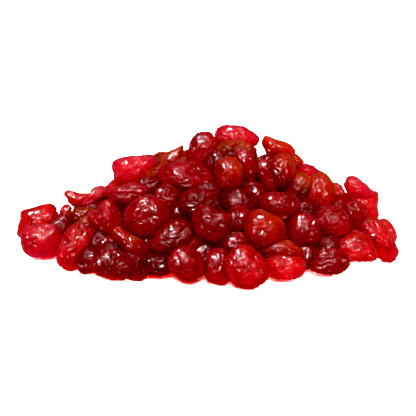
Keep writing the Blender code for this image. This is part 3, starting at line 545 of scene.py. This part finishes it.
def settle(cherries):
    """Pushes the cherries apart until they only press on each other, and keeps them on the floor."""
    places, axes, halves = (np.array([c[key] for c in cherries]) for key in ("place", "axes", "half"))
    heights = np.array([half_height(c["axes"], c["half"]) for c in cherries])
    lines = np.array([c["line"] if c["line"] is not None else np.zeros(3) for c in cherries])
    seen = (np.abs(lines).sum(axis=1) > 0)[:, None]
    homes = places.copy()
    for _ in range(SETTLE_ROUNDS):
        gaps = places[None, :, :] - places[:, None, :]
        distance = np.linalg.norm(gaps, axis=2) + np.eye(len(places))
        ways = gaps / distance[:, :, None]
        own_ways = np.einsum("iab,ijb->ija", axes, ways)
        reach = 1.0 / np.linalg.norm(own_ways / halves[:, None, :] + 1e-9, axis=2)
        short = np.clip(CONTACT * (reach + reach.T) - distance, 0.0, None)
        np.fill_diagonal(short, 0.0)
        push = -(ways * short[:, :, None] * PUSH).sum(axis=1)
        along = (push * lines).sum(axis=1)[:, None] * lines
        push = np.where(seen, along + (push - along) * SIDEWAYS, push)
        places = places + push + (homes - places) * HOMING
        places[:, 2] = np.maximum(places[:, 2], heights - FLOOR_BITE)
    for cherry, place in zip(cherries, places):
        cherry["place"] = place
    return cherries


def laid_out():
    """Every cherry of the heap's skin: the listed front, then the rest by rule."""
    rng = np.random.default_rng(SEED)
    front = [front_cherry(entry, rng) for entry in OUTLINED_CHERRIES + PLAIN_CHERRIES]
    rest = scattered([c["place"] for c in front], rng)
    return settle(front + [back_cherry(place, rng) for place in rest])


def coloured(cherries):
    """Gives the rule-made cherries their tones, and how wrinkled and how light they are."""
    rng = np.random.default_rng(TONE_SEED)
    for cherry in cherries:
        if cherry["line"] is None:
            cherry["tone"] = RULED_TONES[rng.integers(len(RULED_TONES))]
            cherry["wrinkled"] = rng.uniform(*RULED_WRINKLED)
            cherry["tint"] = rng.uniform(*RULED_TINT)
    return cherries


def inner_cherries(cherries):
    """The smaller cherries under the skin: those that fill its gaps, then a layer further in."""
    rng = np.random.default_rng(INNER_SEED)
    outer = np.array([c["place"] for c in cherries])
    hand_placed = outer[[c["line"] is not None for c in cherries]]
    kept = outer
    for inset, from_outer, spacing in INNER_LAYERS:
        reach_x, reach_y = HALF_WIDTH - inset, HALF_DEPTH - inset
        for across, depth in rng.uniform((-reach_x, -reach_y), (reach_x, reach_y), (INNER_TRIES, 2)):
            place = np.array((across, depth, float(skin_height(across, depth, inset))))
            if place[2] < INNER_LOWEST:
                continue
            gaps = np.linalg.norm(kept - place, axis=1)
            clear = gaps[: len(outer)].min() > from_outer and gaps[len(outer):].min(initial=99.0) > spacing
            if clear and not in_the_way(place, hand_placed):
                kept = np.vstack((kept, place))
    inner = [back_cherry(place, rng) for place in kept[len(outer):]]
    for cherry in inner:
        cherry["half"] = cherry["half"] * INNER_SHARE
        cherry["wrinkled"] = INNER_WRINKLED
        cherry["tint"] = INNER_TINT
    return inner


def waves(directions, rng, count, pitch):
    """A smooth random field over directions, about -1 to 1, with features of a pitch in radians."""
    field = np.zeros(len(directions))
    for _ in range(count):
        normal = unit(rng.normal(size=3)) * rng.uniform(*WAVE_SPREAD) * 2 * math.pi / pitch
        field += np.cos(directions @ normal + rng.uniform(0, 2 * math.pi))
    return field / math.sqrt(count)


# The lattice of the grain: its order and slopes, how far apart two grains lie on it, and its gain.
_shuffle = np.random.default_rng(GRAIN_SEED)
LATTICE = _shuffle.permutation(256)
LATTICE_SLOPES = _shuffle.normal(size=(256, 3))
LATTICE_SLOPES /= np.linalg.norm(LATTICE_SLOPES, axis=1)[:, None]
LATTICE_STRIDE = (7.31, 3.17, 5.77)
LATTICE_GAIN = 1.9


def grain(points, offset):
    """Smooth noise, about -1 to 1, whose features are about one unit apart."""
    moved = points + offset * np.array(LATTICE_STRIDE)
    cell = np.floor(moved).astype(np.int64)
    part = moved - cell
    fade = part**3 * (part * (part * 6 - 15) + 10)
    total = np.zeros(len(points))
    for corner in np.ndindex(2, 2, 2):
        x, y, z = ((cell + corner) & 255).T
        mixed = LATTICE[(LATTICE[(LATTICE[x] + y) & 255] + z) & 255]
        slope = (LATTICE_SLOPES[mixed] * (part - corner)).sum(axis=1)
        total += slope * np.where(corner, fade, 1 - fade).prod(axis=1)
    return total * LATTICE_GAIN


def cherry_radius(d, form, rng):
    """How far the main form reaches in each direction, as a share of its half sizes."""
    power = BLOCK_POWER if form == "block" else ROUND_POWER
    radius = (np.abs(d) ** power).sum(axis=1) ** (-1 / power)
    radius = radius + (OUTLINED_UNEVEN if form == "outlined" else UNEVEN) * waves(d, rng, *FORM_WAVES)
    if form == "bean":
        depth, breadth = CLEFT
        radius = radius - depth * np.exp(-((d[:, 0] / breadth) ** 2)) * np.clip(d[:, 1] * 1.2 + 0.1, 0, 1)
    if form == "ring":
        tilt = np.arccos(np.clip(d @ np.array(HOLLOW_WAY), -1, 1))
        depth, breadth = HOLLOW
        height, middle, spread = LIP
        radius = radius - depth * np.exp(-((tilt / breadth) ** 2))
        radius = radius + height * np.exp(-(((tilt - middle) / spread) ** 2))
    if form == "long":
        depth, middle, breadth = GROOVE
        groove = np.exp(-(((d[:, 1] - middle) / breadth) ** 2))
        radius = radius - depth * groove * np.clip(d[:, 2] + 0.4, 0, 1)
    return radius


def hollows(d, rng, wrinkled):
    """Depth in mm of one cherry's soft dents, its puckered pit hole and the folds of its flesh."""
    deep = LEAST_HOLLOW + (1 - LEAST_HOLLOW) * wrinkled
    depth = np.zeros(len(d))
    for _ in range(rng.integers(*DENTS)):
        middle = unit(rng.normal(size=3))
        spread = rng.uniform(*DENT_SPREADS)
        tilt = np.arccos(np.clip(d @ middle, -1, 1)) / spread
        depth += rng.uniform(*DENT_DEPTHS) * deep * np.clip(1 - tilt**2, 0, 1) ** 1.5
    middle = unit(rng.normal(size=3))
    tilt = np.arccos(np.clip(d @ middle, -1, 1)) * (1 + PUCKER_UNEVEN * waves(d, rng, *PUCKER_WAVES))
    depth += PUCKER_DEPTH * np.exp(-((tilt / PUCKER_SPREAD) ** 2))
    ripple = np.cos(tilt * 2 * math.pi / RIPPLE_PITCH) * np.exp(-((tilt / RIPPLE_SPREAD) ** 2))
    depth += RIPPLE_DEPTH * wrinkled * ripple
    height, place, breadth = FOLD_LIP
    for _ in range(rng.integers(*FOLDS)):
        across = unit(rng.normal(size=3))
        middle = rng.normal(size=3)
        middle = unit(middle - across * (middle @ across))
        off = d @ across - rng.uniform(-FOLD_OFF_MIDDLE, FOLD_OFF_MIDDLE)
        off = np.abs(off + FOLD_BEND * waves(d, rng, *FOLD_WAVES))
        along = np.clip((d @ middle - FOLD_START) * FOLD_RISE, 0, 1)
        lip = height * np.exp(-(((off - place) / breadth) ** 2))
        depth += rng.uniform(*FOLD_DEPTHS) * deep * (np.exp(-off / FOLD_BREADTH) - lip) * along
    return depth


def wrinkles(local, number, wrinkled):
    """Height in mm of the crinkled skin, and its grain, at places in mm in the cherry's own frame."""
    drift = np.column_stack([grain(local / DRIFT_PITCH, number + k * 0.37) for k in range(3)])
    moved = (local + drift * RIDGE_DRIFT) * (RIDGE_STRETCH, 1.0, 1.0)
    ridges = np.abs(grain(moved / WRINKLE_PITCH, number + 1.9))
    ridges = np.clip(1 - ridges * RIDGE_SHARPNESS, -0.4, 1)
    cuts = np.abs(grain((local + drift * CUT_DRIFT) * (CUT_STRETCH, 1, 1) / CUT_PITCH, number + 5.7))
    cuts = np.clip(cuts * CUT_SHARPNESS, 0, 0.9) - 0.6
    patch = PATCH_MIDDLE + PATCH_SWING * grain(local / PATCH_PITCH, number + 8.1)
    height = WRINKLE_HEIGHT * (ridges + CUT_SHARE * cuts)
    return wrinkled * np.clip(patch, PATCH_LEAST, 1.0) * height, moved + number * 7.7


def pressed(points, cherry, others):
    """Draws points in to where the cherry's oval meets a neighbour's, so that they meet face to face."""
    arms = points - cherry["place"]
    own = ((arms @ cherry["axes"].T / cherry["half"]) ** 2).sum(axis=1)
    for other in others:
        way = other["place"] - cherry["place"]
        if np.linalg.norm(way) > NEAR * (cherry["half"].max() + other["half"].max()):
            continue
        scaled = arms @ other["axes"].T / other["half"]
        offset = way @ other["axes"].T / other["half"]
        a = (scaled**2).sum(axis=1) - own
        b = scaled @ offset
        c = float(offset @ offset)
        under_root = b * b - a * c
        whole = b + np.sqrt(np.clip(under_root, 0, None))
        meets = np.where((under_root > 0) & (whole > 1e-9), c / np.where(whole > 1e-9, whole, 1), 9)
        meets = meets * (1 - CONTACT_GAP)
        soft = CONTACT_SOFTNESS
        share = np.clip(0.5 + 0.5 * (meets - 1) / soft, 0, 1)
        limit = meets * (1 - share) + share - soft * share * (1 - share)
        arms = arms * limit[:, None]
        own = own * limit**2
    return cherry["place"] + arms


def on_floor(points):
    """Rounds the undersides off flat where they would go below the floor."""
    z, low, soft = points[:, 2], FLOOR_CLEARANCE, FLOOR_SOFTNESS
    share = np.clip(0.5 + 0.5 * (z - low) / soft, 0, 1)
    lifted = z * share + low * (1 - share) + soft * share * (1 - share)
    points[:, 2] = np.where(z < soft + low, lifted, z)
    return points


def fine_cherry(d, cherry, number, others):
    """Places in mm of one fine cherry's skin, its grain there, and how much painted rim light it gets."""
    form = cherry["form"]
    radius = cherry_radius(d, form, np.random.default_rng(FORM_SEED + number))
    girth = np.interp(d[:, 0], *GIRTHS.get(form, EVEN_GIRTH))
    local = d * radius[:, None] * cherry["half"]
    local[:, 1:] *= girth[:, None]
    local = in_outline(local, cherry)
    reach = np.linalg.norm(local, axis=1)
    rng = np.random.default_rng(SKIN_SEED + number)
    raised, grained = wrinkles(local, number * 1.37, cherry["wrinkled"])
    skin = raised - hollows(d, rng, cherry["wrinkled"])
    local *= ((reach + skin) / reach)[:, None]
    arms = local @ cherry["axes"]
    # Painted rim light: how far each point of the skin faces up and to the right.
    facing = arms @ np.array(PAINTED_RIM_LIGHT_WAY) / np.linalg.norm(arms, axis=1)
    painted_rim_light = np.clip((facing - PAINTED_RIM_LIGHT_FROM) / (PAINTED_RIM_LIGHT_TO - PAINTED_RIM_LIGHT_FROM), 0, 1)
    return on_floor(pressed(cherry["place"] + arms, cherry, others)), grained, painted_rim_light


def ball_grid(steps):
    """A ball of eight divided triangles: directions, faces, and each face corner's place on a flat map."""
    index, directions, faces, corners = {}, [], [], []
    for signs in ((x, y, z) for x in (1, -1) for y in (1, -1) for z in (1, -1)):
        turned_in = signs[0] * signs[1] * signs[2] < 0

        def node(i, j):
            key = (signs[0] * i, signs[1] * j, signs[2] * (steps - i - j))
            if key not in index:
                index[key] = len(directions)
                directions.append(unit(np.sin(np.array(key) / steps * math.pi / 2)))
            a, b = i / steps, j / steps
            if signs[2] < 0:
                a, b = 1 - b, 1 - a
            return index[key], (0.5 + 0.5 * signs[0] * a, 0.5 + 0.5 * signs[1] * b)

        for i in range(steps):
            for j in range(steps - i):
                threes = [(node(i, j), node(i + 1, j), node(i, j + 1))]
                if i + j < steps - 1:
                    threes.append((node(i + 1, j), node(i + 1, j + 1), node(i, j + 1)))
                for three in threes:
                    three = three[::-1] if turned_in else three
                    faces.append([corner[0] for corner in three])
                    corners.append([corner[1] for corner in three])
    return np.array(directions), np.array(faces), np.array(corners)


def new_object(name, data):
    """A new object, linked into the scene."""
    made = bpy.data.objects.new(name, data)
    bpy.context.scene.collection.objects.link(made)
    return made


def joined_piece(name, grid, numbered, everyone):
    """One mesh of many cherries, each with its map tile, its tint, the grain of its skin and its painted
    rim light.
    """
    directions, faces, corners = grid
    places, grains, painted_rim_lights = zip(*[
        fine_cherry(directions, cherry, number, [c for c in everyone if c is not cherry])
        for number, cherry in numbered
    ])
    tints = [cherry["tint"] for _, cherry in numbered]
    count, size = len(places), len(directions)
    mesh = bpy.data.meshes.new(name)
    mesh.vertices.add(count * size)
    mesh.vertices.foreach_set("co", (np.concatenate(places) * MM).astype(np.float32).ravel())
    all_faces = (faces[None] + (np.arange(count) * size)[:, None, None]).reshape(-1, 3)
    mesh.loops.add(all_faces.size)
    mesh.loops.foreach_set("vertex_index", all_faces.ravel().astype(np.int32))
    mesh.polygons.add(len(all_faces))
    mesh.polygons.foreach_set("loop_start", np.arange(0, all_faces.size, 3, dtype=np.int32))
    mesh.update(calc_edges=True)
    tiles = math.ceil(math.sqrt(count))
    column, row = np.arange(count) % tiles, np.arange(count) // tiles
    tile = np.column_stack((column, row))[:, None, None, :]
    flat = (tile + MAP_MARGIN + corners[None] * (1 - 2 * MAP_MARGIN)) / tiles
    layer = mesh.uv_layers.new(name="OFBake")
    layer.data.foreach_set("uv", flat.astype(np.float32).ravel())
    stored = {"tint": np.repeat(tints, size), "painted_rim_light": np.concatenate(painted_rim_lights), "grain": np.concatenate(grains)}
    for key, values in stored.items():
        kind, field = ("FLOAT", "value") if values.ndim == 1 else ("FLOAT_VECTOR", "vector")
        layer = mesh.attributes.new(key, kind, "POINT")
        layer.data.foreach_set(field, values.astype(np.float32).ravel())
    mesh.shade_smooth()
    return new_object(name, mesh)


def wired(tree, node, inputs):
    """A shading node's outputs, once its inputs are set to plain values or joined to other outputs."""
    for key, value in inputs.items():
        if isinstance(value, bpy.types.NodeSocket):
            tree.links.new(value, node.inputs[key])
        else:
            node.inputs[key].default_value = value
    return node.outputs


def maths(tree, operation, *parts):
    """One step of arithmetic in a shading tree, on plain numbers and other nodes' outputs."""
    made = tree.nodes.new("ShaderNodeMath")
    made.operation = operation
    return wired(tree, made, dict(enumerate(parts)))[0]


def skin_material(name, deep, bright, reach, coat, painted_rim_light_share):
    """Moist translucent fruit skin: mottled colour with a warm painted rim light, a wet coat, and fine
    creases in the bump.
    """
    material = bpy.data.materials.new(name)
    material.use_nodes = True
    tree = material.node_tree
    new = tree.nodes.new

    def stored(key, output="Fac"):
        made = new("ShaderNodeAttribute")
        made.attribute_name = key
        return made.outputs[output]

    def blend(low, high, factor):
        made = new("ShaderNodeMix")
        made.data_type = "RGBA"
        return wired(tree, made, {"A": low, "B": (*high, 1.0), "Factor": factor})["Result"]

    place = new("ShaderNodeTexCoord").outputs["Object"]
    patches = wired(tree, new("ShaderNodeTexNoise"), {"Vector": place, **MOTTLE_GRAIN})["Fac"]
    mottle = wired(tree, new("ShaderNodeMapRange"), {"Value": patches, **MOTTLE})["Result"]
    # Each cherry's tint lightens its flesh; on the front's outline it is partly painted light from behind.
    flesh = blend((*deep, 1.0), bright, maths(tree, "ADD", mottle, stored("tint")))
    # Warm colour painted on where the skin faces up and to the right, standing in for rim light.
    with_painted_rim_light = blend(flesh, PAINTED_RIM_LIGHT_COLOUR, maths(tree, "MULTIPLY", stored("painted_rim_light"), painted_rim_light_share))
    grained = stored("grain", "Vector")
    crease = wired(tree, new("ShaderNodeTexNoise"), {"Vector": grained, **CREASE_GRAIN})["Fac"]
    folded = maths(tree, "ABSOLUTE", maths(tree, "SUBTRACT", crease, 0.5))
    bump = wired(tree, new("ShaderNodeBump"), {"Height": folded, **CREASES})["Normal"]
    shader = tree.nodes["Principled BSDF"]
    shader.subsurface_method = "RANDOM_WALK"
    wired(tree, shader, {"Subsurface Scale": reach, "Coat Weight": coat, **FLESH})
    wired(tree, shader, {"Base Color": with_painted_rim_light, "Normal": bump, "Coat Normal": bump})
    return material


def core_mesh():
    """The closed core inside the heap, a little smaller than the inner layer."""
    around, levels = CORE_AROUND, CORE_LEVELS
    angles = np.arange(around) * 2 * math.pi / around
    cosines, sines = np.cos(angles), np.sin(angles)
    across, behind, in_front = CORE_PLAN
    depths = np.where(sines < 0, -in_front * np.abs(sines) ** CORE_FRONT_TAPER, behind * sines)
    plan = np.column_stack((across * cosines * HALF_WIDTH, depths * HALF_DEPTH))
    points, faces = [], []
    for level in range(levels):
        share = CORE_REACH * math.cos(level / levels * math.pi / 2)
        heights = skin_height(HALF_WIDTH * share * cosines, HALF_DEPTH * share * sines, 0.0) * CORE_HEIGHT
        points += list(np.column_stack((plan * share, np.maximum(heights, CORE_LEAST_HEIGHT))))
    points.append((0.0, 0.0, float(skin_height(0.0, 0.0, 0.0)) * CORE_HEIGHT))
    foot = len(points)
    points += list(np.column_stack((plan * CORE_FOOT, np.full(around, CORE_UNDERSIDE))))
    points.append((0.0, 0.0, CORE_UNDERSIDE))
    for step in range(around):
        after = (step + 1) % around
        for level in range(levels - 1):
            low, high = level * around, (level + 1) * around
            faces.append((low + step, low + after, high + after, high + step))
        top = (levels - 1) * around
        faces.append((top + step, top + after, levels * around))
        faces.append((foot + step, foot + after, after, step))
        faces.append((foot + after, foot + step, foot + around))
    mesh = bpy.data.meshes.new("cherry_core")
    mesh.from_pydata((np.array(points) * MM).tolist(), [], faces)
    mesh.shade_smooth()
    return new_object("cherry_core", mesh)


def placed(piece, material):
    """Hands the piece its material and its body, and hides the imported node that it stands in for."""
    piece.data.materials.append(material)
    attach(piece, "root")
    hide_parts("cherry_heap")
    return piece


def build_heap():
    """Every piece of the heap: the cherries by side and tone, those inside, and the core."""
    cherries = coloured(laid_out())
    inner = inner_cherries(cherries)
    pieces = []
    for side, steps in (("front", FRONT_STEPS), ("back", BACK_STEPS)):
        grid = ball_grid(steps)
        for tone, look in TONES.items():
            chosen = [
                (number, cherry) for number, cherry in enumerate(cherries)
                if cherry["tone"] == tone and (cherry["line"] is not None) == (side == "front")
            ]
            for part in range(0, len(chosen), MOST_IN_A_PIECE):
                name = f"cherries_{side}_{tone}" + ("_more" if part else "")
                piece = joined_piece(name, grid, chosen[part:part + MOST_IN_A_PIECE], cherries)
                pieces.append(placed(piece, skin_material(f"skin_{tone}", *look)))
    deep, bright, reach = TONES["crimson"][:3]
    numbered = list(enumerate(inner, INNER_FIRST))
    hidden = joined_piece("cherries_inner", ball_grid(INNER_STEPS), numbered, cherries + inner)
    pieces.append(placed(hidden, skin_material("skin_inner", deep, bright, reach, 0.0, 0.0)))
    pieces.append(placed(core_mesh(), skin_material("skin_core", deep, deep, reach, 0.0, 0.0)))
    return pieces


def floor_piece():
    """The white table. The fruit sees a plain bright sheet in place of its own red glow on the table."""
    mesh = bpy.data.meshes.new("floor")
    r = FLOOR_REACH
    mesh.from_pydata([(-r, -r, 0), (r, -r, 0), (r, r, 0), (-r, r, 0)], [], [(0, 1, 2, 3)])
    floor = new_object("floor", mesh)
    material = bpy.data.materials.new("white_table")
    material.use_nodes = True
    tree = material.node_tree
    new = tree.nodes.new
    table = wired(tree, tree.nodes["Principled BSDF"], FLOOR_LOOK)[0]
    rays = new("ShaderNodeLightPath").outputs
    dim = wired(tree, new("ShaderNodeBsdfDiffuse"), {"Color": FLOOR_BOUNCE})[0]
    under = maths(tree, "MULTIPLY", rays["Is Diffuse Ray"], FLOOR_GLOW)
    glow = wired(tree, new("ShaderNodeEmission"), {"Strength": under})[0]
    bounced = wired(tree, new("ShaderNodeAddShader"), {0: dim, 1: glow})[0]
    seen = wired(tree, new("ShaderNodeMixShader"), {0: rays["Is Camera Ray"], 1: bounced, 2: table})[0]
    wired(tree, tree.nodes["Material Output"], {"Surface": seen})
    mesh.materials.append(material)
    return floor


def studio_world():
    """A soft white room, brighter behind the heap, and dimmer in what the wet skins mirror."""
    world = bpy.data.worlds.new("studio")
    world.use_nodes = True
    tree = world.node_tree
    new = tree.nodes.new
    around = new("ShaderNodeTexCoord").outputs["Generated"]
    behind = wired(tree, new("ShaderNodeSeparateXYZ"), {0: around})["Y"]
    strengths = []
    for front, back in (WORLD_MATT, WORLD_MIRRORED):
        ramp = {"From Min": WORLD_RISES_FROM, "From Max": 1.0, "To Min": front, "To Max": back}
        strengths.append(wired(tree, new("ShaderNodeMapRange"), {"Value": behind, **ramp})["Result"])
    glossy = new("ShaderNodeLightPath").outputs["Is Glossy Ray"]
    mixed = wired(tree, new("ShaderNodeMix"), {0: glossy, 2: strengths[0], 3: strengths[1]})[0]
    wired(tree, tree.nodes["Background"], {"Color": (*WHITE, 1.0), "Strength": mixed})
    bpy.context.scene.world = world


def sun(name, place, lit, gloss=True, matt=True):
    """One sun that lights a collection alone: its gloss, its matt surfaces, or both."""
    way, angle, power, colour = place
    light = bpy.data.lights.new(name, "SUN")
    light.angle = math.radians(angle)
    light.energy = power
    light.color = colour
    made = new_object(name, light)
    made.rotation_euler = Vector(way).to_track_quat("Z", "Y").to_euler()
    made.visible_glossy = gloss
    made.visible_diffuse = made.visible_transmission = matt
    made.light_linking.receiver_collection = lit
    return made


def floor_and_light(pieces):
    """The table under the heap, the room round it, and the suns."""
    floor = floor_piece()
    studio_world()
    fruit, table = bpy.data.collections.new("fruit"), bpy.data.collections.new("table")
    for piece in pieces:
        fruit.objects.link(piece)
    table.objects.link(floor)
    sun("key", KEY, fruit, gloss=False)
    sun("inside", INSIDE, fruit, gloss=False).data.use_shadow = False
    for number, place in enumerate(GLINTS):
        sun(f"glint_{number}", place, fruit, matt=False)
    sun("table_light", TABLE, table)
    sun("table_front_light", TABLE_FRONT, table)
    sun("through_fruit", THROUGH, table).light_linking.blocker_collection = table


def set_camera():
    """The camera at the viewpoint that the front cherries' places are read from."""
    data = bpy.data.cameras.new("camera")
    data.sensor_width = SENSOR_WIDTH
    data.lens = SENSOR_WIDTH * EYE_DISTANCE / (2 * FRAME_MIDDLE * MM_PER_STEP)
    camera = new_object("camera", data)
    camera.location = Vector(EYE * MM)
    camera.rotation_euler = Vector(TOWARDS).to_track_quat("Z", "Y").to_euler()
    bpy.context.scene.camera = camera


settings = bpy.context.scene.view_settings
settings.view_transform = "Standard"
settings.use_curve_mapping = True
settings.curve_mapping.black_level = (BLACK_LEVEL,) * 3
settings.curve_mapping.update()
floor_and_light(build_heap())
set_camera()
